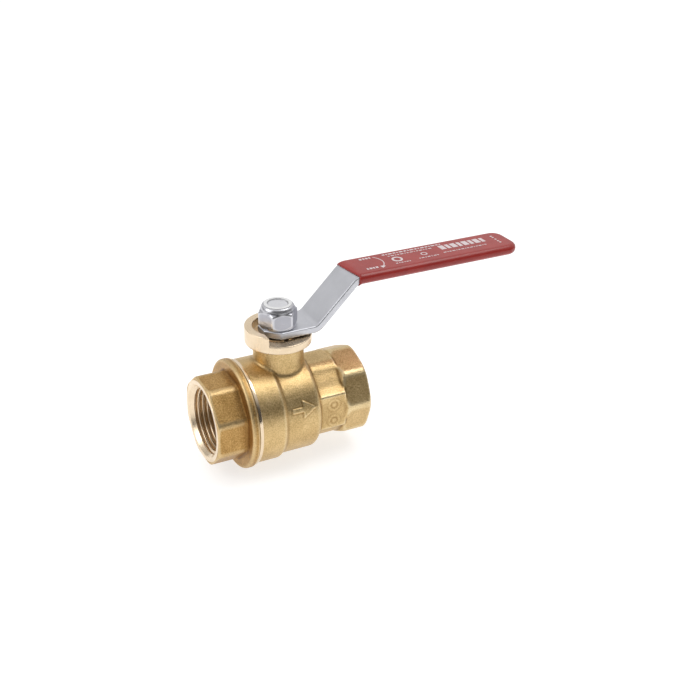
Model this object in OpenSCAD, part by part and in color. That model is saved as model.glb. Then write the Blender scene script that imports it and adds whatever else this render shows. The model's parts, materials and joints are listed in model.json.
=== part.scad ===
// Full-port threaded ball valve with a cranked lever handle, for a 3/4 inch water line.
//
// Frame: the origin is the centre of the inlet port's face. +X runs along the flow axis to the
// outlet port and +Z runs up the stem to the lever. The valve is open at rest, with the lever
// lying over the outlet. All sizes are in millimetres.

/* [Ports] */
// Distance from each port's face to the stem's axis
port_reach = 31.2; // [31:0.1:33]
// Radius of each port's threaded wall, at the root of the thread
port_r = 13.3; // [13:0.1:13.4]
// Depth of the threaded wall in the inlet port
inlet_depth = 15.2; // [13:0.1:15.5]
// Depth of the threaded wall in the outlet port
outlet_depth = 13.4; // [12:0.1:14]
// Radius of the countersink where it meets the port's face
mouth_r = 14; // [13.6:0.1:14.1]
// Radius of the waterway through seats and ball
waterway_r = 9.5; // [8:0.1:9.6]

/* [End cap] */
// Distance across the flats of the cap's octagon
cap_flats = 31.8; // [31:0.1:33]
// Turn of the cap's octagon about the flow axis, in degrees
cap_turn = 3; // [0:1:45]
// Length of the octagon, from the port's face to the flange
cap_octagon_length = 11.6; // [10:0.1:12]
// Radius of the cap's flange
cap_flange_r = 21; // [20.5:0.1:22]
// Thickness of the cap's flange
cap_flange_length = 2.9; // [2.2:0.1:3]
// Radius of the spigot that screws into the body
spigot_r = 16.7; // [16.2:0.1:16.8]

/* [Body] */
// Radius of the turned lip that meets the cap's flange
lip_r = 20.5; // [20.2:0.1:21]
// Length of the turned lip
lip_length = 1.5; // [1:0.1:2]
// Radius of the body's barrel around the screwed joint
joint_barrel_r = 20; // [19.5:0.1:20.2]
// Radius of the body's barrel around the ball
ball_barrel_r = 18.8; // [18.4:0.1:19]
// Radius of the waist between the barrel and the outlet octagon
waist_r = 15.5; // [15.3:0.1:15.6]
// Distance across the flats of the outlet's octagon
outlet_flats = 32.4; // [32:0.1:32.8]
// Turn of the outlet's octagon about the flow axis, in degrees
outlet_turn = 20; // [0:1:45]
// Length of the outlet's octagon
outlet_octagon_length = 10.8; // [9:0.1:11]
// Height of the flat boss on each side of the waist
boss_height = 14.2; // [12:0.1:15]
// Distance from the flow axis to the face of each side boss
boss_reach = 15.9; // [15.7:0.1:16]
// Width of the flat boss on top of the waist
top_boss_width = 12.4; // [8:0.1:13]
// Height of the top boss above the flow axis
top_boss_z = 16.4; // [16:0.1:16.8]
// Width of the top boss at its foot, inside the waist
top_boss_foot_width = 22.8; // [20:0.1:23]
// Height of the top boss's foot above the flow axis
top_boss_foot_z = 9; // [8:0.1:10]

/* [Stem housing] */
// Radius of the neck that holds the stem
neck_r = 9.45; // [9:0.05:10]
// Radius of the stop collar on top of the neck
collar_r = 12.45; // [12:0.05:13]
// Height of the collar's underside above the flow axis
collar_base_z = 26.8; // [26:0.1:27]
// Height of the collar's low rim above the flow axis
collar_rim_z = 30.3; // [30:0.1:30.4]
// Height of the stop wall above the flow axis
stop_wall_z = 33.3; // [32.5:0.1:33.4]
// Inner radius of the stop wall
stop_wall_r = 9.5; // [9.4:0.05:9.8]
// Gap between the lever's edge and the stop wall's end at either limit
stop_gap = 0.15; // [0.1:0.05:0.3]

/* [Ball and stem] */
// Radius of the ball
ball_r = 14.8; // [14.5:0.1:15]
// Radius of the stem where it runs in the body
stem_r = 5; // [4.8:0.1:5]
// Radius of the stem's blow-out shoulder
shoulder_r = 6.6; // [6.2:0.1:6.7]
// Thickness of the tang that turns the ball
tang_width = 5; // [4:0.1:5.5]
// Distance across the two flats that drive the lever
drive_flats = 7; // [6.5:0.1:7.5]
// Radius of the thread at the stem's top
stud_r = 3.95; // [3.9:0.05:4]

/* [Lever] */
// Width of the lever's strap
lever_width = 15.3; // [14:0.1:16]
// Thickness of the lever's strap
lever_thick = 2.7; // [2.5:0.1:3]
// Height of the grip end's underside above the hub's underside
lever_rise = 16.4; // [14:0.1:18]
// Angle of the cranked stretch above the flow axis, in degrees
crank_angle = 45; // [40:1:50]
// Distance from the stem's axis to the start of the first bend
crank_start = 12.4; // [12.3:0.1:13]
// Distance from the stem's axis to the lever's far end
lever_reach = 100.4; // [90:0.1:104]
// Inside radius of each bend
bend_r = 3; // [2:0.5:4]
// Distance from the stem's axis to the lever's hub end
hub_reach = 6.9; // [6.6:0.1:7.2]
// Size of the 45 degree corner cuts on the hub end
hub_corner = 4.9; // [4:0.1:5.5]
// Wall thickness of the vinyl grip
grip_wall = 0.8; // [0.6:0.1:1.2]
// Distance from the stem's axis to the grip's mouth
grip_start = 29.6; // [29.4:0.1:34]

/* [Lock nut] */
// Distance across the nut's flats
nut_flats = 13; // [13:0.1:13.5]
// Height of the nut's hexagon
nut_hex_height = 6.1; // [5:0.1:7]
// Height of the whole nut, with its nylon collar
nut_height = 8.8; // [7.8:0.1:9]
// Turn of the nut about the stem, in degrees
nut_turn = -9; // [-30:1:30]

/* [Hidden] */
$fn = 96;

// Radial clearance of a running or screwed fit
fit = 0.05;
// Gap between parts that turn past each other without touching
running_gap = 0.15;
// Radial clearance between the ball and its seats
seat_gap = 0.08;
// How far a cutter passes a face that it opens
over = 1;

// Flow axis stations
body_length = 2 * port_reach;
stem_x = port_reach;
joint_x = cap_octagon_length + cap_flange_length;
seat_back = 12.2;
seat_front = 8.2;
seat_r = 12.4;
cavity_r = ball_r + 0.5;
ledge_x = stem_x - 7;
spigot_end_x = ledge_x - 1.6;
barrel_step_x = stem_x - 5.8;
barrel_step_length = 0.8;
shoulder_x = stem_x + 7.4;
shoulder_round = 2.2;
boss_x = shoulder_x + shoulder_round;
outlet_octagon_x = body_length - outlet_octagon_length;
end_turning = 0.4;
cavity_end_x = stem_x + seat_front + 0.6;

// Stem axis levels
cap_edge = 0.6;
collar_flare = 0.8;
slot_floor_z = waterway_r + 1.3;
tang_z = slot_floor_z + 0.3;
shoulder_z = 15.5;
washer_z = 17.7;
bore_ledge_z = washer_z + 1;
packing_z = bore_ledge_z + 4.2;
chamber_r = 7;
gland_thread_z = collar_rim_z - 3.4;
gland_thread_r = 7.5;
gland_r = gland_thread_r - fit;
gland_base_z = gland_thread_z + 0.9;
gland_top_z = collar_rim_z - 0.2;
gland_slot_width = 2.2;
gland_slot_depth = 1.1;
packing_pitch = 0.8;
packing_fold = 0.5;
packing_count = 4;
oring_section_r = 0.6;
oring_z = [bore_ledge_z + 1.15, bore_ledge_z + 3.05];
lever_z = collar_rim_z + running_gap;
nut_z = lever_z + lever_thick;
nut_hex_top_z = nut_z + nut_hex_height;
nut_top_z = nut_z + nut_height;
nut_collar_r = nut_flats / 2 - 0.4;
nut_corner_r = nut_flats / 2 / cos(30);
nut_edge = 0.5;
nut_dome = 1.2;
insert_r = 5.2;
insert_height = 2;
stud_edge = 0.4;

// Lever and grip
crank_run = lever_rise / tan(crank_angle);
bend_offset = (lever_thick / 2) * tan(crank_angle / 2);
lever_mid_z = lever_z + lever_thick / 2;
knee = [crank_start + bend_offset, lever_mid_z];
elbow = knee + [crank_run, lever_rise];
lever_end_r = 4;
grip_edge = 1.6;
grip_end = lever_reach + 1;
grip_end_r = lever_end_r + 1;
grip_height = lever_thick + 2 * grip_wall;
grip_width = lever_width + 2 * grip_wall;

// ---- Shared shapes ----

// Cylinder or cone along the flow axis, from x0 to x1
module rod_x(x0, x1, r0, r1 = undef) {
    translate([x0, 0, 0])
        rotate([0, 90, 0])
            cylinder(h = x1 - x0, r1 = r0, r2 = is_undef(r1) ? r0 : r1);
}

// Cylinder or cone about the stem's axis, from z0 to z1
module rod_z(z0, z1, r0, r1 = undef) {
    translate([stem_x, 0, z0])
        cylinder(h = z1 - z0, r1 = r0, r2 = is_undef(r1) ? r0 : r1);
}

// Flat ring about the stem's axis
module washer_z(z0, z1, outer_r, inner_r) {
    difference() {
        rod_z(z0, z1, outer_r);
        rod_z(z0 - over, z1 + over, inner_r);
    }
}

// Octagonal bar along the flow axis; turn 0 puts a flat on top
module octagon_x(x0, x1, flats, turn) {
    corner_r = flats / 2 / cos(22.5);
    translate([x0, 0, 0])
        rotate([turn, 0, 0])
            rotate([0, 90, 0])
                rotate([0, 0, 22.5])
                    cylinder(h = x1 - x0, r = corner_r, $fn = 8);
}

// Round bar that trims an octagon's corners next to a port's face
module face_trim(flats) {
    corner_r = flats / 2 / cos(22.5);
    rod_x(0, 3 * end_turning, corner_r - end_turning);
    rod_x(3 * end_turning, port_reach, corner_r + over);
}

// Hollow of one port: countersink, threaded wall and the waterway behind it
module port_hollow(depth) {
    sink = mouth_r - port_r;
    rod_x(-over, sink, mouth_r + over, port_r);
    rod_x(0, depth, port_r);
    rod_x(depth - over, port_reach, waterway_r);
}

// Mirrors its children to the outlet's end of the valve
module at_outlet() {
    translate([body_length, 0, 0])
        mirror([1, 0, 0])
            children();
}

// ---- Pressure parts ----

module body_outside() {
    lip_end_x = joint_x + lip_length;
    rod_x(joint_x, lip_end_x, lip_r);
    rod_x(lip_end_x, barrel_step_x, joint_barrel_r);
    rod_x(barrel_step_x, barrel_step_x + barrel_step_length, joint_barrel_r, ball_barrel_r);
    rod_x(barrel_step_x, shoulder_x, ball_barrel_r);
    round_shoulder();
    rod_x(shoulder_x, outlet_octagon_x + over, waist_r);
    outlet_block();
    waist_bosses();
}

// Rounded edge where the barrel turns in to the waist
module round_shoulder() {
    translate([shoulder_x, 0, 0])
        rotate([0, 90, 0])
            rotate_extrude()
                translate([ball_barrel_r - shoulder_round, 0])
                    circle(r = shoulder_round, $fn = 32);
}

module outlet_block() {
    intersection() {
        octagon_x(outlet_octagon_x, body_length, outlet_flats, outlet_turn);
        at_outlet() face_trim(outlet_flats);
    }
}

// Flat bosses on both sides of the waist, and the one on top with its sloped sides
module waist_bosses() {
    boss_length = outlet_octagon_x - boss_x;
    translate([boss_x, -boss_reach, -boss_height / 2])
        cube([boss_length, 2 * boss_reach, boss_height]);
    translate([boss_x, 0, 0])
        rotate([90, 0, 90])
            linear_extrude(boss_length)
                polygon([
                    [-top_boss_foot_width / 2, top_boss_foot_z],
                    [top_boss_foot_width / 2, top_boss_foot_z],
                    [top_boss_width / 2, top_boss_z],
                    [-top_boss_width / 2, top_boss_z]
                ]);
}

// Neck and collar, with the stop wall that the lever's edges meet
module stem_housing() {
    rod_z(0, collar_rim_z, neck_r);
    rod_z(collar_base_z, collar_rim_z, collar_r);
    rod_z(collar_base_z - collar_flare, collar_base_z, neck_r, neck_r + collar_flare);
    stop_wall();
}

module stop_wall() {
    stop_y = lever_width / 2 + stop_gap;
    difference() {
        washer_z(collar_rim_z - over, stop_wall_z, collar_r, stop_wall_r);
        translate([stem_x - stop_y, -2 * collar_r, collar_rim_z])
            cube([4 * collar_r, 2 * collar_r, 2 * over + stop_wall_z]);
        translate([stem_x, -2 * collar_r, collar_rim_z])
            cube([2 * collar_r, 2 * collar_r + stop_y, 2 * over + stop_wall_z]);
    }
}

module body_hollow() {
    rod_x(joint_x - over, ledge_x, spigot_r + fit);
    rod_x(ledge_x - over, cavity_end_x, cavity_r);
    rod_x(stem_x, stem_x + seat_back, seat_r + fit);
    at_outlet() port_hollow(outlet_depth);
    rod_z(slot_floor_z, bore_ledge_z, shoulder_r + running_gap);
    rod_z(bore_ledge_z - over, packing_z + over, stem_r + fit);
    rod_z(packing_z, collar_rim_z + over, chamber_r);
    rod_z(gland_thread_z, collar_rim_z + over, gland_thread_r);
}

module body() {
    color([0.80, 0.62, 0.33])
        difference() {
            union() {
                body_outside();
                stem_housing();
            }
            body_hollow();
        }
}

module end_cap() {
    flange_x = cap_octagon_length;
    color([0.78, 0.60, 0.32])
        difference() {
            union() {
                intersection() {
                    octagon_x(0, flange_x + over, cap_flats, cap_turn);
                    face_trim(cap_flats);
                }
                rod_x(flange_x, flange_x + cap_edge, cap_flange_r - cap_edge, cap_flange_r);
                rod_x(flange_x + cap_edge, joint_x, cap_flange_r);
                rod_x(flange_x + cap_edge, spigot_end_x, spigot_r);
            }
            port_hollow(inlet_depth);
            rod_x(stem_x - seat_back, stem_x, seat_r + fit);
        }
}

module body_seal() {
    color([0.93, 0.92, 0.88])
        difference() {
            rod_x(spigot_end_x, ledge_x, spigot_r);
            rod_x(spigot_end_x - over, ledge_x + over, cavity_r + 0.1);
        }
}

// Seat ring with a hollow spherical face that the ball runs in
module seat_ring() {
    difference() {
        rod_x(stem_x - seat_back, stem_x - seat_front, seat_r);
        rod_x(0, stem_x, waterway_r);
        translate([stem_x, 0, 0])
            sphere(r = ball_r + seat_gap);
    }
}

module seat_inlet() {
    color([0.95, 0.95, 0.93]) seat_ring();
}

module seat_outlet() {
    color([0.95, 0.95, 0.93]) at_outlet() seat_ring();
}

// ---- Ball and stem ----

module ball() {
    slot_width = tang_width + 4 * fit;
    slot_length = 2 * shoulder_r;
    color([0.85, 0.86, 0.88])
        difference() {
            translate([stem_x, 0, 0])
                sphere(r = ball_r);
            rod_x(0, body_length, waterway_r);
            translate([stem_x - slot_width / 2, -slot_length / 2, slot_floor_z])
                cube([slot_width, slot_length, ball_r]);
        }
}

// Round bar about the stem's axis with two flats facing along Y
module drive_bar(z0, z1, r, flats) {
    intersection() {
        rod_z(z0, z1, r);
        translate([stem_x - r, -flats / 2, z0])
            cube([2 * r, flats, z1 - z0]);
    }
}

module stem() {
    tang_r = shoulder_r - 0.9;
    groove_half = oring_section_r + 2 * fit;
    groove_r = stem_r - 2 * oring_section_r;
    color([0.74, 0.75, 0.77])
        union() {
            intersection() {
                rod_z(tang_z, shoulder_z + over, tang_r);
                translate([stem_x - tang_width / 2, -shoulder_r, tang_z])
                    cube([tang_width, 2 * shoulder_r, ball_r]);
            }
            rod_z(shoulder_z, washer_z - fit, shoulder_r);
            difference() {
                rod_z(shoulder_z, lever_z, stem_r);
                for (z = oring_z)
                    washer_z(z - groove_half, z + groove_half, stem_r + over, groove_r);
            }
            drive_bar(lever_z - over, nut_z, stem_r, drive_flats);
            rod_z(nut_z, nut_top_z - 2 * stud_edge, stud_r);
            rod_z(nut_top_z - 2 * stud_edge, nut_top_z - stud_edge, stud_r, stud_r - stud_edge);
        }
}

module thrust_washer() {
    color([0.95, 0.95, 0.93]) washer_z(washer_z, bore_ledge_z, shoulder_r, stem_r + fit);
}

module stem_oring(z) {
    color([0.12, 0.12, 0.13])
        translate([stem_x, 0, z])
            rotate_extrude()
                translate([stem_r - oring_section_r, 0])
                    circle(r = oring_section_r - fit / 2, $fn = 24);
}

module stem_oring_lower() {
    stem_oring(oring_z[0]);
}

module stem_oring_upper() {
    stem_oring(oring_z[1]);
}

// ---- Packing set ----

// Ring whose underside and top are folded upwards in a V by the given amounts
module v_ring(z0, z1, under_fold, top_fold) {
    inner_r = stem_r + fit;
    middle_r = (inner_r + chamber_r) / 2;
    translate([stem_x, 0, 0])
        rotate_extrude()
            polygon([
                [inner_r, z0], [middle_r, z0 + under_fold], [chamber_r, z0],
                [chamber_r, z1], [middle_r, z1 + top_fold], [inner_r, z1]
            ]);
}

module packing_adapter() {
    color([0.88, 0.87, 0.82]) v_ring(packing_z, packing_z + packing_pitch, 0, packing_fold);
}

module packing_ring(index) {
    z0 = packing_z + index * packing_pitch;
    color([0.95, 0.95, 0.93]) v_ring(z0, z0 + packing_pitch, packing_fold, packing_fold);
}

module packing_ring_1() {
    packing_ring(1);
}

module packing_ring_2() {
    packing_ring(2);
}

module packing_ring_3() {
    packing_ring(3);
}

module packing_ring_4() {
    packing_ring(packing_count);
}

module packing_follower() {
    z0 = packing_z + (packing_count + 1) * packing_pitch;
    color([0.80, 0.66, 0.40]) v_ring(z0, gland_base_z, packing_fold, 0);
}

// Screwed gland with two driving slots in its top face
module packing_nut() {
    color([0.80, 0.66, 0.40])
        difference() {
            washer_z(gland_base_z, gland_top_z, gland_r, stem_r + fit);
            translate([stem_x - gland_slot_width / 2, -2 * gland_r, gland_top_z - gland_slot_depth])
                cube([gland_slot_width, 4 * gland_r, gland_slot_depth + over]);
        }
}

// ---- Lever set ----

// One arc of a bend, as points about a centre
function arc(centre, r, from, to, steps = 6) =
    [for (i = [0 : steps]) let (a = from + (to - from) * i / steps) centre + r * [cos(a), sin(a)]];

// Side outline of a strap of the given thickness that follows the lever's middle line
module strap_outline(thick, x0, x1) {
    half = thick / 2;
    mid_r = bend_r + lever_thick / 2;
    tangent = mid_r * tan(crank_angle / 2);
    along = [cos(crank_angle), sin(crank_angle)];
    knee_centre = knee + [-tangent, mid_r];
    elbow_centre = elbow + [tangent, -mid_r];
    polygon(concat(
        [[x0, knee[1] - half]],
        arc(knee_centre, mid_r + half, -90, crank_angle - 90),
        arc(elbow_centre, mid_r - half, 90 + crank_angle, 90),
        [[x1, elbow[1] - half], [x1, elbow[1] + half]],
        arc(elbow_centre, mid_r + half, 90, 90 + crank_angle),
        arc(knee_centre, mid_r - half, crank_angle - 90, -90),
        [[x0, knee[1] + half]]
    ));
}

// Turns an outline drawn in X and Z into a strap across Y, placed on the stem's axis
module strap_solid(width) {
    translate([stem_x, width / 2, 0])
        rotate([90, 0, 0])
            linear_extrude(height = width)
                children();
}

// Plan of the lever: cut corners at the hub and rounded corners at the far end
module lever_plan() {
    half = lever_width / 2;
    polygon(concat(
        [
            [-hub_reach, half - hub_corner], [-hub_reach, hub_corner - half],
            [hub_corner - hub_reach, -half]
        ],
        arc([lever_reach - lever_end_r, lever_end_r - half], lever_end_r, -90, 0),
        arc([lever_reach - lever_end_r, half - lever_end_r], lever_end_r, 0, 90),
        [[hub_corner - hub_reach, half]]
    ));
}

// Solid bounds of the strap alone, without its stem hole
module strap() {
    intersection() {
        strap_solid(lever_width)
            strap_outline(lever_thick, -hub_reach, lever_reach);
        translate([stem_x, 0, 0])
            linear_extrude(height = elbow[1] + lever_thick)
                lever_plan();
    }
}

module lever() {
    color([0.74, 0.75, 0.77])
        difference() {
            strap();
            drive_bar(lever_z - over, nut_z + over, stem_r + fit, drive_flats + 2 * fit);
        }
}

// Rounded edge rods whose hull is the grip's outside; side and level are -1 or 1
module grip_edges(side, level) {
    z = elbow[1] + level * (grip_height / 2 - grip_edge);
    translate([stem_x + grip_start, side * (grip_width / 2 - grip_edge), z])
        rotate([0, 90, 0])
            cylinder(h = 1, r = grip_edge, $fn = 32);
    translate([stem_x + grip_end - grip_end_r, side * (grip_width / 2 - grip_end_r), z])
        rotate_extrude($fn = 48)
            translate([grip_end_r - grip_edge, 0])
                circle(r = grip_edge, $fn = 32);
}

module grip() {
    color([0.66, 0.13, 0.13])
        difference() {
            hull() {
                for (side = [-1, 1], level = [-1, 1])
                    grip_edges(side, level);
            }
            strap();
        }
}

module lock_nut() {
    color([0.72, 0.73, 0.75])
        difference() {
            union() {
                intersection() {
                    translate([stem_x, 0, nut_z])
                        rotate([0, 0, nut_turn])
                            cylinder(h = nut_hex_height, r = nut_corner_r, $fn = 6);
                    rod_z(nut_z, nut_hex_top_z, nut_flats / 2, nut_flats / 2 + 2 * nut_hex_height);
                    rod_z(nut_z, nut_hex_top_z, nut_corner_r + nut_dome, nut_corner_r - nut_dome);
                }
                rod_z(nut_hex_top_z - over, nut_top_z - nut_edge, nut_collar_r);
                rod_z(nut_top_z - nut_edge, nut_top_z, nut_collar_r, nut_collar_r - nut_edge);
            }
            rod_z(nut_z - over, nut_top_z + over, stud_r + fit);
            rod_z(nut_top_z - insert_height, nut_top_z + over, insert_r);
        }
}

module nut_insert() {
    color([0.96, 0.96, 0.95])
        washer_z(nut_top_z - insert_height, nut_top_z - fit, insert_r, stud_r + fit);
}

body();
end_cap();
body_seal();
seat_inlet();
seat_outlet();
ball();
stem();
thrust_washer();
stem_oring_lower();
stem_oring_upper();
packing_adapter();
packing_ring_1();
packing_ring_2();
packing_ring_3();
packing_ring_4();
packing_follower();
packing_nut();
lever();
grip();
lock_nut();
nut_insert();
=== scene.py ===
"""Looks for a threaded ball valve: forged brass body, plated lever and nut, red vinyl grip.

Every solid piece is modelled as a distance field in millimetres, in the CAD frame, and meshed
with OpenVDB. The pipe threads and the turned lip are grids swept about the flow axis, and the
grip's print is a set of thin prisms. Sizes are in millimetres, and become the scene's metres
where something is placed in it.
"""

import functools
import itertools
import json
import math

import bpy
import numpy as np
import openvdb
from mathutils import Matrix, Vector


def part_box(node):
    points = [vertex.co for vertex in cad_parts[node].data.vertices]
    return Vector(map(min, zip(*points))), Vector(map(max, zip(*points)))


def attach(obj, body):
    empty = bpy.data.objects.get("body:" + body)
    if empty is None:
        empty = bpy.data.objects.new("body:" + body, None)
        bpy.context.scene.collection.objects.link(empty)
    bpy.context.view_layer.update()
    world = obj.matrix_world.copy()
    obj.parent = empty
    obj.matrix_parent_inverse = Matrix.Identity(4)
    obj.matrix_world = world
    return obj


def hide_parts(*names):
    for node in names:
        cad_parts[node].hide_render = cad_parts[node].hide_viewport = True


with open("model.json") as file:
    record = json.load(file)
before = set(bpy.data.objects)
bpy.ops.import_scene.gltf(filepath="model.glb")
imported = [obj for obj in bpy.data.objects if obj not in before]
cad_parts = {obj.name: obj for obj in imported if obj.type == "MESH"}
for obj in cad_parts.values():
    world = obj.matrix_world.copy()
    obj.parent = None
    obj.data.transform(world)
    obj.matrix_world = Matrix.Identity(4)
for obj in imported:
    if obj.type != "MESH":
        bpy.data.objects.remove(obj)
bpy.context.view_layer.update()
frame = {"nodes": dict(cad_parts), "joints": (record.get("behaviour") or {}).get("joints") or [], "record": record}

# Metres in a millimetre
MM = 0.001


def box_mm(node):
    """Lowest and highest corner of a CAD node, in millimetres."""
    low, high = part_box(node)
    return np.array(low) / MM, np.array(high) / MM


CAP_LOW, CAP_HIGH = box_mm("end_cap")
BODY_LOW, BODY_HIGH = box_mm("body")
LEVER_LOW, LEVER_HIGH = box_mm("lever")
GRIP_LOW, GRIP_HIGH = box_mm("grip")
NUT_LOW, NUT_HIGH = box_mm("lock_nut")

STEM_X = frame["joints"][0]["pos_m"][0] / MM
INLET_X = CAP_LOW[0]
OUTLET_X = BODY_HIGH[0]
JOINT_X = BODY_LOW[0]
STOP_TOP_Z = BODY_HIGH[2]
FLOOR_Z = CAP_LOW[2] - 0.05
FLOOR_HALF = 6000

# Ports. The liner is the ring that carries the thread, and the rim is its flat face.
PORT_R = 13.3
MOUTH_R = 14.0
RIM_R = 15.6
RIM_THICK = 0.6
RIM_EDGE = 0.12
LINER_R = 14.3
LINER_BORE_R = LINER_R - 0.3
WATERWAY_R = 9.5
INLET_DEPTH = 15.2
OUTLET_DEPTH = 13.4

# Pipe thread: 14 turns to the inch, each meshed in THREAD_ROWS rows. The taper is the radius
# lost per millimetre of depth.
THREAD_PITCH = 25.4 / 14
THREAD_HEIGHT = 1.35
THREAD_TAPER = 1 / 32
THREAD_ROWS = 22

# Columns of every swept ring, and the angle of each about the flow axis
RING_COLUMNS = 240
RING_ANGLES = np.arange(RING_COLUMNS) * 2 * math.pi / RING_COLUMNS

# Both forgings. A forging's face lies a little behind the rim of its port, and a bore runs
# BORE_OVER past the face that it opens.
OCTAGON_EDGE = 0.9
FACE_TURNING_R = 17.35
FACE_BACK = 0.04
FACE_EDGE = 0.3
SEAT_R = 12.45
SEAT_REACH = 12.2
BORE_OVER = 3

# End cap
CAP_FLATS = 31.8
CAP_TURN = 3
FLANGE_X = 11.6
FLANGE_R = CAP_HIGH[2]
SPIGOT_R = 16.7
SPIGOT_END_X = 22.6
JOINT_GAP = 0.1

# Body. Its forging starts a little behind the joint, inside the turned lip.
BODY_START_X = JOINT_X + 0.3
LIP_R = 20.5
LIP_LENGTH = 1.5
JOINT_BARREL_R = 20.0
BALL_BARREL_R = 18.8
BARREL_STEP_X = 25.8
BARREL_END_X = 40.8
SHOULDER_ROUND = 2.2
WAIST_R = 15.5
SIDE_BOSS_REACH = 15.9
SIDE_BOSS_Z = 0.4
SIDE_BOSS_HALF = 6.9
SIDE_BOSS_DRAFT = 0.52
TOP_BOSS_Z = 16.4
TOP_BOSS_HALF = 6.2
TOP_BOSS_SLOPE = 0.7
TOP_BOSS_FOOT_Z = 9
OUTLET_FLATS = 32.4
OUTLET_TURN = 20
OCTAGON_X = OUTLET_X - 10.8
OCTAGON_FLARE = 1.1
LEDGE_REACH = 7
BALL_CAVITY_R = 15.3
BALL_CAVITY_REACH = 8.8
NECK_R = 9.45
COLLAR_R = 12.45
COLLAR_BASE_Z = 26.8
COLLAR_RIM_Z = 29.9
STOP_WALL_R = 9.5
STOP_GAP = 0.15
GLAND_R = 7.5
# Bores round the stem, as (from height, to height, radius): shoulder, stem and packing
STEM_BORES = ((10.8, 18.7, 6.75), (17.7, 23.9, 5.05), (22.9, COLLAR_RIM_Z, 7.0))

# Lever, grip and nut
STRAP_HALF = LEVER_HIGH[1]
STRAP_THICK = 2.7
STRAP_EDGE = 0.45
STRAP_END_R = 4.0
HUB_CORNER = 4.9
DRIVE_HOLE_R = 5.05
DRIVE_HOLE_HALF = 3.55
KNEE_X = 44.16
ELBOW_X = 60.56
BEND_R = 4.35
GRIP_HALF = GRIP_HIGH[1]
GRIP_MOUTH_X = GRIP_LOW[0]
GRIP_MOUTH_SKEW = 1.8
GRIP_MOUTH_LEAN = 0.45
GRIP_END_R = 5.0
GRIP_EDGE = 2.0
GRIP_GAP = 0.04
NUT_FLATS = 13.0
NUT_TURN = 9
NUT_HEX_TOP_Z = NUT_LOW[2] + 6.9
NUT_CROWN_R = 6.4
NUT_CROWN_TOP_R = 5.35
STUD_R = 3.95
INSERT_R = 5.2
INSERT_DEPTH = 1.9

# Room in which the forgings, the collar and the grip are sampled
FORGING_HALF = 21
BODY_BOTTOM_Z, BODY_TOP_Z = -20, 28
COLLAR_HALF = 12.5
COLLAR_BOTTOM_Z = 25.5
GRIP_MARGIN = (6, 0, 6)
# How far from a point the convexity behind edge wear and painted corner shade is sampled
WEAR_REACH = 0.7

# Print on the grip, from the middle of the grip's mouth.
# Rows of blocks, as (from x, to x, y, height, widths, gap)
PRINT_ROWS = (
    (6.5, 12.0, 4.2, 1.3, (1.0, 0.7), 0.45),
    (5.0, 10.0, -4.8, 1.3, (0.7, 1.0), 0.45),
    (16.5, 44.0, 4.6, 0.9, (1.1, 0.6, 1.6), 0.5),
    (18.0, 38.0, 2.8, 0.6, (0.8, 1.4, 0.5), 0.5),
    (17.5, 25.0, -4.4, 0.6, (0.9, 0.5), 0.45),
    (28.0, 37.0, -3.9, 0.6, (0.6, 1.2), 0.45),
    (40.5, 62.0, 0.0, 3.8, (2.3, 1.5), 0.75),
    (39.5, 60.0, -3.0, 0.6, (1.3, 0.5, 0.9), 0.45),
)
# Two rings and the turning arrow, as (x, y, inner r, outer r, from degrees, to degrees)
PRINT_ARCS = (
    (20.0, -0.6, 1.35, 2.2, 0, 360),
    (32.0, -0.4, 0.9, 1.35, 0, 360),
    (8.0, 0.6, 5.9, 6.25, -45, 45),
)
PRINT_ARROW_HEAD = [(10.8, -3.6), (11.2, -5.6), (12.9, -4.2), (12.6, -3.8)]
PRINT_COLUMN_Y = (-3.6, -2.1, -0.3, 1.6, 3.0)
PRINT_DEPTH = 0.2


# ---- Distance fields ----

def round_max(a, b, radius):
    """Field of what two solids share, with their common edge rounded."""
    inside = np.minimum(np.maximum(a, b), -radius)
    return inside + np.hypot(np.maximum(a + radius, 0), np.maximum(b + radius, 0))


def round_min(a, b, radius):
    """Field of two solids together, with a fillet where they meet."""
    return -round_max(-a, -b, radius)


def joined(fields):
    """Field of several solids together, without fillets."""
    return functools.reduce(np.minimum, fields)


def slanted(value, reach, slope):
    """Field of a face at value = 0 that moves out by slope for each millimetre of reach."""
    return (value - slope * reach) / math.hypot(1, slope)


def smooth_step(start, end, value):
    """0 before start, 1 after end, and a smooth rise between them."""
    share = np.clip((value - start) / (end - start), 0, 1)
    return share * share * (3 - 2 * share)


def polygon_prism(along, across, flats, sides, turn_deg, edge_round):
    """Field of a regular bar, seen along its axis; a flat faces `across` when turn_deg is 0."""
    planes = []
    for side in range(sides):
        angle = math.radians(turn_deg) + side * 2 * math.pi / sides
        planes.append(along * math.sin(angle) + across * math.cos(angle) - flats / 2)
    return functools.reduce(lambda bar, plane: round_max(bar, plane, edge_round), planes)


def slab(value, low, high):
    """Field of the space between two parallel planes."""
    return np.maximum(low - value, value - high)


def samples(field, points, low, step):
    """Field values at points between grid nodes, by trilinear interpolation."""
    place = (points - low) / step
    cell = np.clip(np.floor(place).astype(int), 0, np.array(field.shape) - 2)
    share = place - cell
    total = np.zeros(len(points))
    for corner in np.ndindex(2, 2, 2):
        weight = np.prod(np.where(corner, share, 1 - share), axis=1)
        i, j, k = (cell + corner).T
        total += weight * field[i, j, k]
    return total


def slopes(field, points, low, step, reach):
    """Unit gradient of the field at the points."""
    gradient = np.empty_like(points)
    for axis in range(3):
        offset = np.zeros(3)
        offset[axis] = reach
        gradient[:, axis] = (samples(field, points + offset, low, step)
                             - samples(field, points - offset, low, step))
    return gradient / np.maximum(np.linalg.norm(gradient, axis=1, keepdims=True), 1e-9)


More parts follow.
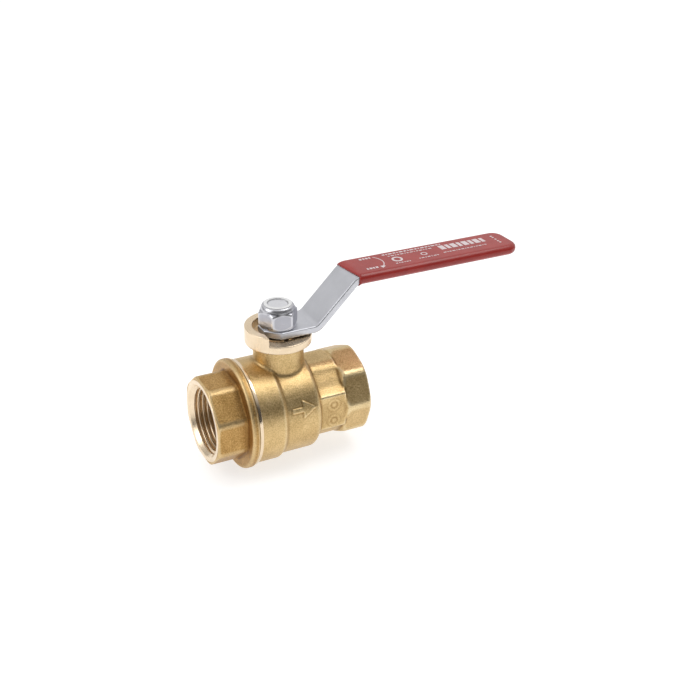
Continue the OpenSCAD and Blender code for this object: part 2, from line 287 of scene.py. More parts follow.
def edge_wear_and_shade(field, points, low, step):
    """How convex the surface is at the points: above 0 on edges, which wear pale, and below 0 in corners, which
    get painted shade.
    """
    around = -6 * samples(field, points, low, step)
    for axis in range(3):
        for away in (-WEAR_REACH, WEAR_REACH):
            offset = np.zeros(3)
            offset[axis] = away
            around += samples(field, points + offset, low, step)
    return around / WEAR_REACH


# ---- Pieces ----

def add_piece(name, points, faces, finish, body, stands_for, normals=None, wear=0.0):
    """Makes a mesh piece from points in millimetres and lets it ride on a CAD body.

    Without normals, edges over 35 degrees are sharp. wear is one number, or one per point.
    """
    mesh = bpy.data.meshes.new(name)
    mesh.from_pydata((points * MM).tolist(), [], faces.tolist())
    mesh.shade_smooth()
    if normals is None:
        mesh.set_sharp_from_angle(angle=math.radians(35))
    else:
        mesh.normals_split_custom_set_from_vertices(normals.tolist())
    # Convexity of each point, which gives both the worn edges and the painted corner shade
    amounts = mesh.attributes.new("edge_wear_and_shade", "FLOAT", "POINT")
    amounts.data.foreach_set("value", np.broadcast_to(wear, len(points)).astype(np.float32))
    mesh.materials.append(finish)
    piece = bpy.data.objects.new(name, mesh)
    bpy.context.scene.collection.objects.link(piece)
    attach(piece, body)
    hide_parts(stands_for)


def outward(points, faces):
    """The faces, turned round if they face into the solid."""
    a, b, c, d = (points[faces[:, i]] for i in range(4))
    volume = np.sum(a * (np.cross(b, c) + np.cross(c, d)))
    return faces if volume > 0 else faces[:, ::-1]


def field_piece(name, solid, low, high, step, finish, body, stands_for):
    """Meshes the field solid(x, y, z), sampled at every step between two corners.

    The mesh's points are then moved onto the field's true surface.
    """
    low = np.array(low) - 2 * step
    counts = np.ceil((np.array(high) + 2 * step - low) / step).astype(int)
    x, y, z = np.ogrid[tuple(slice(0, n) for n in counts)]
    place = (x * step + low[0], y * step + low[1], z * step + low[2])
    field = np.ascontiguousarray(np.broadcast_to(solid(*place), counts)).astype(np.float32)
    grid = openvdb.FloatGrid(3 * step)
    grid.copyFromArray(np.clip(field, -3 * step, 3 * step))
    points, faces = grid.convertToQuads(isovalue=0)
    points = np.array(points, float) * step + low
    for _ in range(2):
        distance = samples(field, points, low, step)[:, None]
        points -= np.clip(distance, -step / 2, step / 2) * slopes(field, points, low, step, step / 2)
    points = np.clip(points, low + 2 * step, np.array(high))
    normals = slopes(field, points, low, step, step * 0.7)
    wear = edge_wear_and_shade(field, points, low, step)
    faces = outward(points, np.array(faces, int))
    add_piece(name, points, faces, finish, body, stands_for, normals, wear)


def ring_piece(name, rows, finish, stands_for):
    """Closed brass ring about the flow axis.

    Each row is (x, r), and each of the two is a number or one value per column.
    """
    x = np.stack([np.broadcast_to(row[0], RING_COLUMNS) for row in rows]).astype(float)
    r = np.stack([np.broadcast_to(row[1], RING_COLUMNS) for row in rows]).astype(float)
    points = np.stack([x, -r * np.sin(RING_ANGLES), r * np.cos(RING_ANGLES)], axis=-1)
    points = points.reshape(-1, 3)
    row, column = np.meshgrid(np.arange(len(rows)), np.arange(RING_COLUMNS), indexing="ij")
    next_row, next_column = (row + 1) % len(rows), (column + 1) % RING_COLUMNS
    corners = ((row, column), (row, next_column), (next_row, next_column), (next_row, column))
    faces = np.stack([i * RING_COLUMNS + j for i, j in corners], axis=-1).reshape(-1, 4)
    add_piece(name, points, outward(points, faces), finish, "valve_body", stands_for)


# ---- Brass body and end cap ----

def turned_corners(x, r, face_x, inwards):
    """Rounded turning that cuts an octagon's corners next to a port's face.

    inwards is 1 where the solid lies on the +X side of the face, and -1 where it doesn't.
    """
    return round_max(r - FACE_TURNING_R, (face_x - x) * inwards, 1.6)


def coaxial_bores(along, r, bores):
    """Field of bores about one axis, given as (start, end, radius)."""
    return joined(np.maximum(slab(along, start, end), r - radius) for start, end, radius in bores)


def cap_solid(x, y, z):
    """End cap: octagon with the inlet port, flange, and the spigot that holds a seat."""
    r = np.hypot(y, z)
    bar = polygon_prism(-y, z, CAP_FLATS, 8, CAP_TURN, OCTAGON_EDGE)
    bar = np.maximum(bar, x - FLANGE_X - 1)
    bar = round_max(bar, turned_corners(x, r, INLET_X + FACE_BACK, 1), FACE_EDGE)
    flange = round_max(r - FLANGE_R, FLANGE_X - x, 1.1)
    flange = round_max(flange, x - JOINT_X + JOINT_GAP, 0.15)
    spigot = np.maximum(r - SPIGOT_R, slab(x, FLANGE_X, SPIGOT_END_X))
    bores = coaxial_bores(x, r, (
        (INLET_X - BORE_OVER, INLET_X + INLET_DEPTH, LINER_BORE_R),
        (INLET_X, STEM_X, WATERWAY_R),
        (STEM_X - SEAT_REACH, STEM_X, SEAT_R),
    ))
    return np.maximum(np.minimum(round_min(bar, flange, 0.9), spigot), -bores)


def body_barrel(x, r):
    """Barrel with a soft step from its joint end down to its ball end."""
    barrel_r = JOINT_BARREL_R + (BALL_BARREL_R - JOINT_BARREL_R) * smooth_step(
        BARREL_STEP_X - 1.1, BARREL_STEP_X + 1.1, x)
    barrel = round_max(r - barrel_r, x - BARREL_END_X, SHOULDER_ROUND)
    return np.maximum(barrel, BODY_START_X - x)


def waist_bosses(x, y, z):
    """Flat bosses on both sides and on top of the waist, with drafted edges."""
    along = slab(x, BARREL_END_X - 4, OCTAGON_X + 0.2)
    side_face = np.abs(y) - SIDE_BOSS_REACH
    side_edge = slanted(np.abs(z - SIDE_BOSS_Z) - SIDE_BOSS_HALF, -side_face, SIDE_BOSS_DRAFT)
    side = round_max(side_face, side_edge, 0.5)
    top_face = z - TOP_BOSS_Z
    top_edge = slanted(np.abs(y) - TOP_BOSS_HALF, -top_face, TOP_BOSS_SLOPE)
    top = np.maximum(round_max(top_face, top_edge, 2.5), TOP_BOSS_FOOT_Z - z)
    return np.maximum(np.minimum(side, top), along)


def outlet_octagon(x, y, z, r):
    """Octagon at the outlet; a cone cuts its inner end, so its corners start later than its flats."""
    bar = polygon_prism(-y, z, OUTLET_FLATS, 8, OUTLET_TURN, OCTAGON_EDGE)
    flare = slanted(r - WAIST_R - 0.4, x - OCTAGON_X, OCTAGON_FLARE)
    bar = round_max(bar, flare, 0.4)
    return round_max(bar, turned_corners(x, r, OUTLET_X - FACE_BACK, -1), FACE_EDGE)


def flow_arrow(x, y, z, r):
    """Raised arrow on the near side of the barrel that points to the outlet."""
    centre_x, centre_deg = 33.2, 72
    tail, tip, half_width, head_slope, height = -4.6, 4.8, 0.85, 1.45, 0.3
    along = x - centre_x
    around = np.abs(BALL_BARREL_R * (np.arctan2(-y, z) - math.radians(centre_deg)))
    shaft = np.maximum(slab(along, tail, 1.2), around - half_width)
    head = np.maximum(-0.2 - along, slanted(along - tip, around, -head_slope))
    return np.maximum(np.minimum(shaft, head), slab(r, BALL_BARREL_R - 1, BALL_BARREL_R + height))


def round_marks(x, y, z):
    """Two plain raised rings with a dot, on the near side boss."""
    centre_x, ring_r, ring_half, dot_r, height = 46.7, 2.1, 0.2, 0.7, 0.13
    marks = []
    for centre_z in (3.3, -3.4):
        distance = np.hypot(x - centre_x, z - centre_z)
        marks += [np.abs(distance - ring_r) - ring_half, distance - dot_r]
    return np.maximum(joined(marks), slab(y, -SIDE_BOSS_REACH - height, 1 - SIDE_BOSS_REACH))


def body_solid(x, y, z):
    """Forged body: barrel, waist, outlet and neck, with its marks, blended and bored out."""
    r = np.hypot(y, z)
    stem_r = np.hypot(x - STEM_X, y)
    waist = np.maximum(r - WAIST_R, slab(x, BARREL_END_X - 4, OCTAGON_X + 1))
    solid = round_min(body_barrel(x, r), waist, 1.0)
    solid = round_min(solid, waist_bosses(x, y, z), 0.8)
    solid = round_min(solid, outlet_octagon(x, y, z, r), 0.5)
    neck = np.maximum(stem_r - NECK_R, slab(z, 0, COLLAR_BASE_Z + 0.6))
    solid = round_min(solid, neck, 1.2)
    solid = round_min(solid, flow_arrow(x, y, z, r), 0.25)
    solid = round_min(solid, round_marks(x, y, z), 0.15)
    flow_bores = coaxial_bores(x, r, (
        (JOINT_X - BORE_OVER, STEM_X - LEDGE_REACH, SPIGOT_R + 0.05),
        (JOINT_X, STEM_X + BALL_CAVITY_REACH, BALL_CAVITY_R),
        (STEM_X, STEM_X + SEAT_REACH, SEAT_R),
        (STEM_X, OUTLET_X, WATERWAY_R),
        (OUTLET_X - OUTLET_DEPTH, OUTLET_X + BORE_OVER, LINER_BORE_R),
    ))
    return np.maximum(solid, -np.minimum(flow_bores, coaxial_bores(z, stem_r, STEM_BORES)))


def collar_solid(x, y, z):
    """Turned collar with the wall that stops the lever a quarter turn apart."""
    stem_r = np.hypot(x - STEM_X, y)
    reach = STRAP_HALF + STOP_GAP
    ring = round_max(stem_r - COLLAR_R, COLLAR_BASE_Z - z, 0.45)
    ring = round_max(ring, z - STOP_TOP_Z, 0.3)
    above_rim = COLLAR_RIM_Z - z
    swept = np.minimum(
        round_max(STEM_X - reach - x, y, 0.2),
        round_max(STEM_X - x, y - reach, 0.2),
    )
    cleared = round_max(np.minimum(swept, stem_r - STOP_WALL_R), above_rim, 0.2)
    ring = round_max(ring, -cleared, 0.3)
    flare_z = COLLAR_BASE_Z - 0.8
    flare = np.maximum(stem_r - NECK_R - (z - flare_z), slab(z, flare_z, COLLAR_BASE_Z + 0.5))
    return round_max(np.minimum(ring, flare), GLAND_R - stem_r, 0.3)


def thread_radius(x, depth):
    """Radius of a right-hand taper thread's wall all round, at a station along the flow axis."""
    phase = (x / THREAD_PITCH - RING_ANGLES / (2 * math.pi)) % 1
    ridge = smooth_step(0.05, 0.95, np.abs(2 * phase - 1))
    return PORT_R - THREAD_TAPER * depth - THREAD_HEIGHT * ridge


def port_ring(name, face_x, inwards, depth, stands_for):
    """Machined port: flat rim, countersink and pipe thread, down to the waterway."""
    rows = [
        (face_x + inwards * RIM_THICK, RIM_R - 0.02),
        (face_x + inwards * RIM_EDGE, RIM_R),
        (face_x, RIM_R - RIM_EDGE),
        (face_x, MOUTH_R + 0.1),
    ]
    for depth_here in np.arange(0.08, depth, THREAD_PITCH / THREAD_ROWS):
        x = face_x + inwards * depth_here
        rows.append((x, np.maximum(thread_radius(x, depth_here), MOUTH_R - depth_here)))
    rows += [
        (face_x + inwards * depth, WATERWAY_R + 2.5),
        (face_x + inwards * (depth + 0.3), LINER_R),
        (face_x + inwards * RIM_THICK, LINER_R),
    ]
    ring_piece(name, rows, FINISH["turned_brass"], stands_for)


def turned_band(name, start_x, end_x, outer_r, edges, stands_for):
    """Bright turned band about the flow axis, with rounded edges of the two given sizes."""
    inner_r = outer_r - 1.6
    rows = [(start_x, inner_r)]
    for x, side, edge in ((start_x, 1, edges[0]), (end_x, -1, edges[1])):
        arc = [(x + side * edge * (1 - math.cos(turn)), outer_r - edge * (1 - math.sin(turn)))
               for turn in np.linspace(0, math.pi / 2, 5)]
        rows += arc[::side]
    rows.append((end_x, inner_r))
    ring_piece(name, rows, FINISH["turned_band"], stands_for)


# ---- Lever set ----

def centreline(start_x, end_x):
    """Middle line of the strap in X and Z, with its two bends, from one station to another."""
    low_z = LEVER_LOW[2] + STRAP_THICK / 2
    high_z = LEVER_HIGH[2] - STRAP_THICK / 2
    corners = np.array([[start_x, low_z], [KNEE_X, low_z], [ELBOW_X, high_z], [end_x, high_z]])
    line = [corners[0]]
    for before, corner, after in zip(corners, corners[1:], corners[2:]):
        into = (corner - before) / np.linalg.norm(corner - before)
        out = (after - corner) / np.linalg.norm(after - corner)
        turn = math.acos(np.clip(into @ out, -1, 1))
        tangent = BEND_R * math.tan(turn / 2)
        normal = (out - into) / np.linalg.norm(out - into)
        centre = corner + normal * math.hypot(BEND_R, tangent)
        first, last = corner - into * tangent, corner + out * tangent
        for share in np.linspace(0, 1, 9):
            ray = (1 - share) * (first - centre) + share * (last - centre)
            line.append(centre + ray * BEND_R / np.linalg.norm(ray))
    line.append(corners[-1])
    return np.array(line)


def line_distance(x, z, line):
    """Distance from each (x, z) to a bent line."""
    gaps = []
    for start, end in zip(line, line[1:]):
        run = end - start
        share = np.clip(((x - start[0]) * run[0] + (z - start[1]) * run[1]) / (run @ run), 0, 1)
        gaps.append(np.hypot(x - start[0] - share * run[0], z - start[1] - share * run[1]))
    return joined(gaps)


def strap_solid(x, y, z):
    """Cranked strap with cut corners at the hub and rounded corners at the far end."""
    bar = line_distance(x, z, centreline(LEVER_LOW[0] - 5, LEVER_HIGH[0] + 5)) - STRAP_THICK / 2
    side = np.abs(y) - STRAP_HALF
    hub_cut = (LEVER_LOW[0] + HUB_CORNER - x + side) * math.sqrt(0.5)
    plan = np.maximum(round_max(side, x - LEVER_HIGH[0], STRAP_END_R), hub_cut)
    plan = np.maximum(plan, LEVER_LOW[0] - x)
    strap = round_max(bar, plan, STRAP_EDGE)
    hole = np.maximum(np.hypot(x - STEM_X, y) - DRIVE_HOLE_R, np.abs(y) - DRIVE_HOLE_HALF)
    return np.maximum(strap, -hole)


def grip_solid(x, y, z):
    """Dipped vinyl sleeve over the strap, with a slanted mouth and a rounded end."""
    half_thick = (GRIP_HIGH[2] - GRIP_LOW[2]) / 2 - 0.05
    bar = line_distance(x, z, centreline(LEVER_LOW[0], GRIP_HIGH[0] + 5)) - half_thick
    plan = round_max(np.abs(y) - GRIP_HALF, x - GRIP_HIGH[0], GRIP_END_R)
    sleeve = round_max(bar, plan, GRIP_EDGE)
    skew = GRIP_MOUTH_SKEW * (y + GRIP_HALF) / (2 * GRIP_HALF)
    lean = GRIP_MOUTH_LEAN * (z - LEVER_HIGH[2]) * smooth_step(-1, 9, y)
    sleeve = round_max(sleeve, GRIP_MOUTH_X - x - skew - lean, 0.3)
    return np.maximum(sleeve, GRIP_GAP - strap_solid(x, y, z))


def dashes(start, end, y, height, widths, gap):
    """Row of printed blocks that takes its widths in turn, as (x0, x1, y0, y1) for each."""
    row = []
    x = start
    for width in itertools.cycle(widths):
        if x + width >= end:
            return row
        row.append((x, x + width, y, y + height))
        x += width + gap


def print_outlines():
    """Four-cornered outlines of the print, in X and Y from the middle of the grip's mouth."""
    blocks = [block for row in PRINT_ROWS for block in dashes(*row)]
    blocks += [(65.2, 66.0, y, y + 0.9) for y in PRINT_COLUMN_Y]
    outlines = [[(x0, y0), (x1, y0), (x1, y1), (x0, y1)] for x0, x1, y0, y1 in blocks]
    for x, y, inner, outer, start, end in PRINT_ARCS:
        angles = np.radians(np.linspace(start, end, max(4, int((end - start) / 8))))
        for a, b in zip(angles, angles[1:]):
            outlines.append([(x + r * math.cos(t), y + r * math.sin(t))
                             for r, t in ((inner, a), (outer, a), (outer, b), (inner, b))])
    return outlines + [PRINT_ARROW_HEAD]


def grip_print():
    """Thin white print on the grip: blocks, rings and the arrow that shows the turn."""
    top, bottom = GRIP_HIGH[2], GRIP_HIGH[2] - PRINT_DEPTH
    points, faces = [], []
    for outline in print_outlines():
        first = len(points)
        for z in (bottom, top):
            points += [(GRIP_MOUTH_X + x, y, z) for x, y in outline]
        low, high = range(first, first + 4), range(first + 4, first + 8)
        faces += [tuple(low)[::-1], tuple(high)]
        faces += [(low[i], low[(i + 1) % 4], high[(i + 1) % 4], high[i]) for i in range(4)]
    add_piece("grip_print", np.array(points), np.array(faces), FINISH["white_ink"],
              "lever_set", "grip")


def nut_solid(x, y, z):
    """Hexagon with a chamfered foot, and a conical crown that carries the nylon ring."""
    stem_r = np.hypot(x - STEM_X, y)
    hexagon = polygon_prism(x - STEM_X, y, NUT_FLATS, 6, NUT_TURN, 0.25)
    foot = slanted(stem_r - NUT_FLATS / 2 - 0.1, z - NUT_LOW[2], 0.7)
    hexagon = round_max(hexagon, foot, 0.3)
    shoulder = slanted(stem_r - NUT_FLATS / 2, NUT_HEX_TOP_Z - 0.3 - z, 1.5)
    hexagon = round_max(hexagon, shoulder, 0.5)
    hexagon = np.maximum(hexagon, slab(z, NUT_LOW[2], NUT_HIGH[2] - 0.8))
    crown = slanted(stem_r - NUT_CROWN_TOP_R, NUT_HIGH[2] - z, 1.1)
    crown = round_max(crown, stem_r - NUT_CROWN_R, 1.0)
    crown = round_max(crown, z - NUT_HIGH[2], 0.8)
    crown = np.maximum(crown, NUT_LOW[2] + 3 - z)
    nut = round_min(hexagon, crown, 0.3)
    insert = np.maximum(stem_r - INSERT_R, NUT_HIGH[2] - INSERT_DEPTH - z)
    bore = np.minimum(stem_r - STUD_R, insert)
    return round_max(nut, -bore, 0.12)


# ---- Finishes ----

def set_stops(ramp, stops):
    """Gives a colour ramp node its stops, each as (position, (r, g, b))."""
    elements = ramp.color_ramp.elements
    while len(elements) < len(stops):
        elements.new(0.5)
    for element, (position, colour) in zip(elements, stops):
        element.position = position
        element.color = (*colour, 1)


class Finish:
    """A Principled material whose patterns are made from noise in the object's own space."""

    def __init__(self, name, constants):
        """constants gives shader sockets a fixed value by their names."""
        self.material = bpy.data.materials.new(name)
        self.material.use_nodes = True
        self.tree = self.material.node_tree
        self.shader = self.tree.nodes["Principled BSDF"]
        for socket, value in constants.items():
            self.shader.inputs[socket].default_value = value
        self.place = self.tree.nodes.new("ShaderNodeTexCoord").outputs["Object"]

    def node(self, kind, **settings):
        """New node of a kind, with its settings made."""
        made = self.tree.nodes.new(kind)
        for name, value in settings.items():
            setattr(made, name, value)
        return made

    def stretched(self, scale):
        """Object coordinates, scaled along each axis."""
        mapping = self.node("ShaderNodeMapping")
        mapping.inputs["Scale"].default_value = scale
        self.tree.links.new(self.place, mapping.inputs["Vector"])
        return mapping.outputs["Vector"]

    def noise(self, size_mm, detail, stretch=(1, 1, 1)):
        """Noise whose features are about size_mm across, between 0 and 1."""
        texture = self.node("ShaderNodeTexNoise")
        texture.inputs["Scale"].default_value = 1 / (size_mm * MM)
        texture.inputs["Detail"].default_value = detail
        self.tree.links.new(self.stretched(stretch), texture.inputs["Vector"])
        return texture.outputs["Fac"]

    def wear(self):
        """What edge_wear_and_shade gave the mesh's points."""
        return self.node("ShaderNodeAttribute", attribute_name="edge_wear_and_shade").outputs["Fac"]

    def ramp(self, value, stops):
        """Colour along value; stops are (position, (r, g, b))."""
        ramp = self.node("ShaderNodeValToRGB")
        set_stops(ramp, stops)
        self.tree.links.new(value, ramp.inputs["Fac"])
        return ramp.outputs["Color"]

    def span(self, value, low, high, start=0.3, end=0.7):
        """value, moved from start..end to low..high."""
        mapped = self.node("ShaderNodeMapRange")
        limits = {"From Min": start, "From Max": end, "To Min": low, "To Max": high}
        for socket, number in limits.items():
            mapped.inputs[socket].default_value = number
        self.tree.links.new(value, mapped.inputs["Value"])
        return mapped.outputs["Result"]

    def combine(self, operation, a, b):
        """Math node over a and b, each an output or a number."""
        math_node = self.node("ShaderNodeMath", operation=operation)
        for socket, value in zip(math_node.inputs, (a, b)):
            if isinstance(value, (int, float)):
                socket.default_value = value
            else:
                self.tree.links.new(value, socket)
        return math_node.outputs["Value"]

    def blend(self, how, share, a, b):
        """Mix of colours a and b; share is how much of the blend is taken."""
        mix = self.node("ShaderNodeMix", data_type="RGBA", blend_type=how)
        for socket, value in (("Factor", share), ("A", a), ("B", b)):
            self.tree.links.new(value, mix.inputs[socket])
        return mix.outputs["Result"]

    def drive(self, socket, value):
        """Links an output to one of the shader's sockets."""
        self.tree.links.new(value, self.shader.inputs[socket])

    def bump(self, height, depth_mm):
        """Fine relief in the shading, up to depth_mm deep."""
        bump = self.node("ShaderNodeBump")
        bump.inputs["Distance"].default_value = depth_mm * MM
        self.tree.links.new(height, bump.inputs["Height"])
        self.drive("Normal", bump.outputs["Normal"])


def forged_brass(name, tones, roughness):
    """Tumbled forging: fine grain, patchy tone, paler worn edges, and painted shade in its corners."""
    finish = Finish(name, {"Metallic": 1.0})
    patches = finish.noise(7, detail=4)
    dents = finish.noise(1.8, detail=3)
    grain = finish.noise(0.5, detail=4)
    speckle = finish.span(grain, 0, 0.65, 0.34, 0.66)
    tone = finish.combine("ADD", finish.span(patches, 0, 0.35), speckle)
    base = finish.ramp(tone, tuple(zip((0.0, 0.5, 1.0), tones)))
    wear = finish.wear()
    pale = finish.ramp(patches, ((0, (0.62, 0.47, 0.27)), (1, (0.70, 0.55, 0.33))))
    worn = finish.blend("SCREEN", finish.span(wear, 0, 0.55, 0.08, 0.8), base, pale)
    # Painted shade: a dark brown multiplied into the concave corners, where shade falls
    painted_corner_shade = finish.ramp(patches, ((0, (0.30, 0.20, 0.10)), (1, (0.42, 0.30, 0.17))))
    corner_shaded = finish.blend("MULTIPLY", finish.span(wear, 0.75, 0, -0.9, -0.05), worn, painted_corner_shade)
    finish.drive("Base Color", corner_shaded)
    finish.drive("Roughness", finish.span(grain, roughness - 0.06, roughness + 0.06))
    finish.bump(finish.combine("ADD", grain, finish.combine("MULTIPLY", dents, 0.5)), 0.10)
    return finish.material


def turned_brass(name, roughness):
    """Machined brass: pale, with fine tool marks round the flow axis."""
    finish = Finish(name, {"Metallic": 1.0})
    marks = finish.noise(0.4, detail=1, stretch=(1, 0.1, 0.1))
    patches = finish.noise(5, detail=3)
    tones = ((0.3, (0.76, 0.61, 0.43)), (0.7, (0.85, 0.70, 0.51)))
    finish.drive("Base Color", finish.ramp(patches, tones))
    finish.drive("Roughness", finish.span(marks, roughness - 0.04, roughness + 0.04))
    finish.bump(marks, 0.002)
    return finish.material


def plated_steel(name, base, roughness, grain_mm, polish=0):
    """Zinc plate: cool grey with a satin grain and faint clouds.

    polish is the share of bare, pale steel on sharp edges, from 0 to 1.
    """
    finish = Finish(name, {"Metallic": 1.0})
    grain = finish.noise(grain_mm, detail=3)
    clouds = finish.noise(9, detail=3)
    darker = tuple(0.88 * c for c in base)
    plate = finish.ramp(clouds, ((0.3, darker), (0.7, base)))
    pale = finish.ramp(clouds, ((0.3, (0.80, 0.80, 0.82)), (0.7, (0.88, 0.88, 0.90))))
    worn = finish.span(finish.wear(), 0, polish, 0.03, 0.4)
    finish.drive("Base Color", finish.blend("MIX", worn, plate, pale))
    finish.drive("Roughness", finish.span(grain, roughness - 0.05, roughness + 0.06))
    finish.bump(grain, 0.02)
    return finish.material


def red_vinyl():
    """Dipped vinyl: deep red, with slow waves in the film and a soft sheen."""
    finish = Finish("red_vinyl", {"IOR": 1.38, "Coat Weight": 0.35, "Coat Roughness": 0.14})
    waves = finish.noise(6, detail=2)
    pores = finish.noise(0.5, detail=2)
    tones = ((0.3, (0.30, 0.016, 0.012)), (0.7, (0.35, 0.022, 0.016)))
    finish.drive("Base Color", finish.ramp(waves, tones))
    finish.drive("Roughness", finish.span(pores, 0.36, 0.46))
    finish.bump(finish.combine("ADD", finish.combine("MULTIPLY", waves, 3.0), pores), 0.02)
    return finish.material


def moulded(name, low, high, roughness, grain_mm):
    """Plastic, rubber or ink: near-even colour with a fine surface grain."""
    finish = Finish(name, {})
    grain = finish.noise(grain_mm, detail=2)
    finish.drive("Base Color", finish.ramp(grain, ((0.3, low), (0.7, high))))
    finish.drive("Roughness", finish.span(grain, roughness - 0.05, roughness + 0.05))
    finish.bump(grain, 0.01)
    return finish.material


def chrome():
    """Chrome plate with the faintest polishing haze."""
    finish = Finish("chrome_ball", {"Metallic": 1.0})
    haze = finish.noise(3, detail=4)
    tones = ((0.3, (0.56, 0.57, 0.59)), (0.7, (0.62, 0.63, 0.65)))
    finish.drive("Base Color", finish.ramp(haze, tones))
    finish.drive("Roughness", finish.span(haze, 0.05, 0.12))
    return finish.material


FINISH = {
    "forged_brass": forged_brass(
        "forged_brass", ((0.43, 0.290, 0.118), (0.62, 0.440, 0.206), (0.78, 0.585, 0.305)), 0.40),
    "forged_cap": forged_brass(
        "forged_cap", ((0.27, 0.152, 0.046), (0.45, 0.268, 0.094), (0.65, 0.420, 0.165)), 0.42),
    "turned_brass": turned_brass("turned_brass", 0.30),
    "turned_band": turned_brass("turned_band", 0.13),
    "chrome_ball": chrome(),
    "zinc_steel": plated_steel("zinc_steel", (0.62, 0.625, 0.66), 0.40, 0.5),
    "zinc_nut": plated_steel("zinc_nut", (0.45, 0.45, 0.49), 0.32, 0.8, 0.45),
    "stem_end": plated_steel("stem_end", (0.84, 0.84, 0.87), 0.32, 0.8),
    "red_vinyl": red_vinyl(),
    "ptfe": moulded("ptfe", (0.74, 0.73, 0.70), (0.80, 0.79, 0.76), 0.45, 0.6),
    "white_nylon": moulded("white_nylon", (0.72, 0.72, 0.72), (0.78, 0.78, 0.78), 0.40, 0.5),
    "black_elastomer": moulded(
        "black_elastomer", (0.012, 0.012, 0.013), (0.02, 0.02, 0.021), 0.5, 0.4),
    "white_ink": moulded("white_ink", (0.62, 0.52, 0.53), (0.78, 0.68, 0.69), 0.5, 0.35),
}


def finish_cad_nodes():
    """Gives every carried-over CAD node the finish of its material slot; the stem is paler."""
    for part in frame["record"]["subparts"]:
        mesh = frame["nodes"][part["node"]].data
        mesh.materials.clear()
        slot = "stem_end" if part["node"] == "stem" else part["material_slot"]
        mesh.materials.append(FINISH[slot])


# ---- Camera, light and floor ----

def photo_camera():
    """Camera at the photo's angle: above the valve and to its inlet side, rolled a little."""
    azimuth, elevation, roll = (math.radians(a) for a in (28.75, 27.54, 1.28))
    target = Vector((61.54, -0.12, 15.64)) * MM
    distance = 424.84 * MM
    back = Vector((
        -math.sin(azimuth) * math.cos(elevation),
        -math.cos(azimuth) * math.cos(elevation),
        math.sin(elevation),
    ))
    right = Vector((math.cos(azimuth), -math.sin(azimuth), 0))
    up = back.cross(right)
    rolled_right = math.cos(roll) * right + math.sin(roll) * up
    rolled_up = back.cross(rolled_right)
    data = bpy.data.cameras.new("photo_camera")
    data.sensor_width = 36
    data.lens = data.sensor_width * 11 / 7
    data.clip_start = 0.01
    data.clip_end = 10
    camera = bpy.data.objects.new("photo_camera", data)
    axes = Matrix((rolled_right, rolled_up, back)).transposed().to_4x4()
    camera.matrix_world = Matrix.Translation(target + distance * back) @ axes
    bpy.context.scene.collection.objects.link(camera)
    bpy.context.scene.camera = camera


def studio_world():
    """Soft tent, bright on one side of overhead and grey around; the camera sees it as white."""
    world = bpy.data.worlds.new("studio")
    world.use_nodes = True
    nodes, links = world.node_tree.nodes, world.node_tree.links
    tent = nodes["Background"]
    direction = nodes.new("ShaderNodeTexCoord")
    bright_side = nodes.new("ShaderNodeVectorMath")
    bright_side.operation = "DOT_PRODUCT"
    bright_side.inputs[1].default_value = Vector((0.20, 0.42, 0.885))
    links.new(direction.outputs["Generated"], bright_side.inputs[0])
    height = nodes.new("ShaderNodeMapRange")
    height.inputs["From Min"].default_value = -1
    links.new(bright_side.outputs["Value"], height.inputs["Value"])
    ramp = nodes.new("ShaderNodeValToRGB")
    links.new(height.outputs["Result"], ramp.inputs["Fac"])
    levels = ((0.0, 0.5), (0.33, 0.06), (0.58, 0.12), (0.67, 0.40), (0.80, 0.90), (1.0, 1.0))
    set_stops(ramp, [(position, (level, level, level)) for position, level in levels])
    links.new(ramp.outputs["Color"], tent.inputs["Color"])
    tent.inputs["Strength"].default_value = 0.9
    backdrop = nodes.new("ShaderNodeBackground")
    path = nodes.new("ShaderNodeLightPath")
    choice = nodes.new("ShaderNodeMixShader")
    links.new(path.outputs["Is Camera Ray"], choice.inputs["Fac"])
    links.new(tent.outputs["Background"], choice.inputs[1])
    links.new(backdrop.outputs["Background"], choice.inputs[2])
    backdrop.inputs["Color"].default_value = (1, 1, 1, 1)
    links.new(choice.outputs["Shader"], nodes["World Output"].inputs["Surface"])
    bpy.context.scene.world = world


def soft_light(name, direction, distance_mm, size_mm, power):
    """Square area light that shines back at the valve from a direction."""
    middle = Vector((OUTLET_X, 0, COLLAR_RIM_Z)) * MM
    data = bpy.data.lights.new(name, "AREA")
    data.size = size_mm * MM
    data.energy = power
    light = bpy.data.objects.new(name, data)
    towards = Vector(direction).normalized()
    light.location = middle + towards * distance_mm * MM
    light.rotation_mode = "QUATERNION"
    light.rotation_quaternion = towards.to_track_quat("Z", "Y")
    bpy.context.scene.collection.objects.link(light)


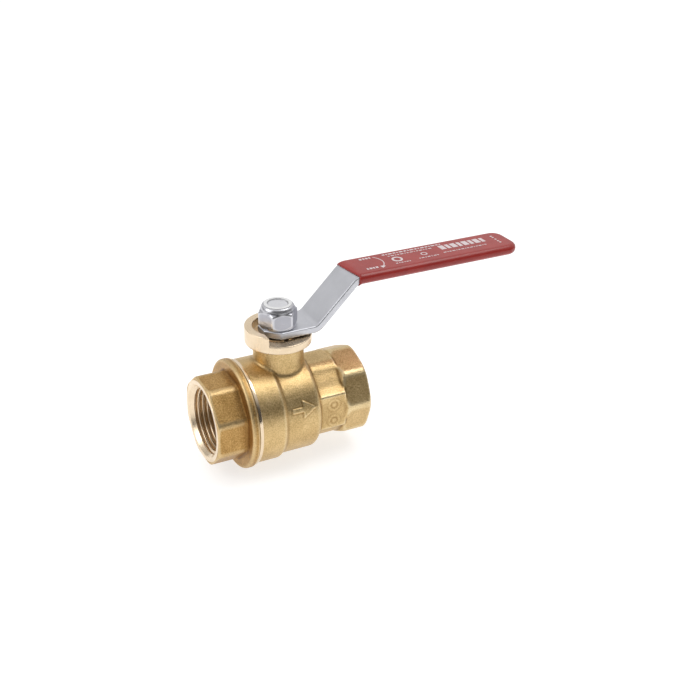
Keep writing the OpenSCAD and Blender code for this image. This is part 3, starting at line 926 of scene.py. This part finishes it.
def pale_floor():
    """White paper under the valve, lit from within so that only a faint shadow shows on it."""
    half, z = FLOOR_HALF * MM, FLOOR_Z * MM
    mesh = bpy.data.meshes.new("floor")
    corners = [(-half, -half, z), (half, -half, z), (half, half, z), (-half, half, z)]
    mesh.from_pydata(corners, [], [(0, 1, 2, 3)])
    paper = Finish("pale_floor", {
        "Roughness": 0.9, "Emission Color": (1, 1, 1, 1), "Emission Strength": 0.68})
    fibre = paper.noise(2, detail=3)
    tones = ((0.0, (0.50, 0.50, 0.50)), (1.0, (0.53, 0.53, 0.53)))
    paper.drive("Base Color", paper.ramp(fibre, tones))
    mesh.materials.append(paper.material)
    floor = bpy.data.objects.new("floor", mesh)
    bpy.context.scene.collection.objects.link(floor)


finish_cad_nodes()
field_piece("body_forging", body_solid,
            (BODY_START_X, -FORGING_HALF, BODY_BOTTOM_Z), (OUTLET_X, FORGING_HALF, BODY_TOP_Z), 0.4,
            FINISH["forged_brass"], "valve_body", "body")
field_piece("end_cap_forging", cap_solid,
            (INLET_X, -FORGING_HALF, -FORGING_HALF), (SPIGOT_END_X, FORGING_HALF, FORGING_HALF), 0.36,
            FINISH["forged_cap"], "valve_body", "end_cap")
field_piece("stop_collar", collar_solid,
            (STEM_X - COLLAR_HALF, -COLLAR_HALF, COLLAR_BOTTOM_Z),
            (STEM_X + COLLAR_HALF, COLLAR_HALF, STOP_TOP_Z), 0.2,
            FINISH["turned_brass"], "valve_body", "body")
turned_band("body_joint_lip", JOINT_X + 0.1, JOINT_X + LIP_LENGTH, LIP_R, (0.2, 0.3), "body")
port_ring("inlet_thread", INLET_X, 1, INLET_DEPTH, "end_cap")
port_ring("outlet_thread", OUTLET_X, -1, OUTLET_DEPTH, "body")
field_piece("lever_strap", strap_solid, LEVER_LOW, LEVER_HIGH, 0.3,
            FINISH["zinc_steel"], "lever_set", "lever")
field_piece("grip_sleeve", grip_solid, GRIP_LOW - GRIP_MARGIN, GRIP_HIGH, 0.3,
            FINISH["red_vinyl"], "lever_set", "grip")
grip_print()
field_piece("lock_nut_forging", nut_solid, NUT_LOW, NUT_HIGH, 0.16,
            FINISH["zinc_nut"], "lever_set", "lock_nut")
photo_camera()
studio_world()
soft_light("key", (0.42, -0.16, 0.89), distance_mm=700, size_mm=320, power=1.3)
soft_light("side", (-0.85, 0.1, 0.5), distance_mm=800, size_mm=500, power=2.2)
pale_floor()
bpy.context.scene.view_settings.view_transform = "Standard"
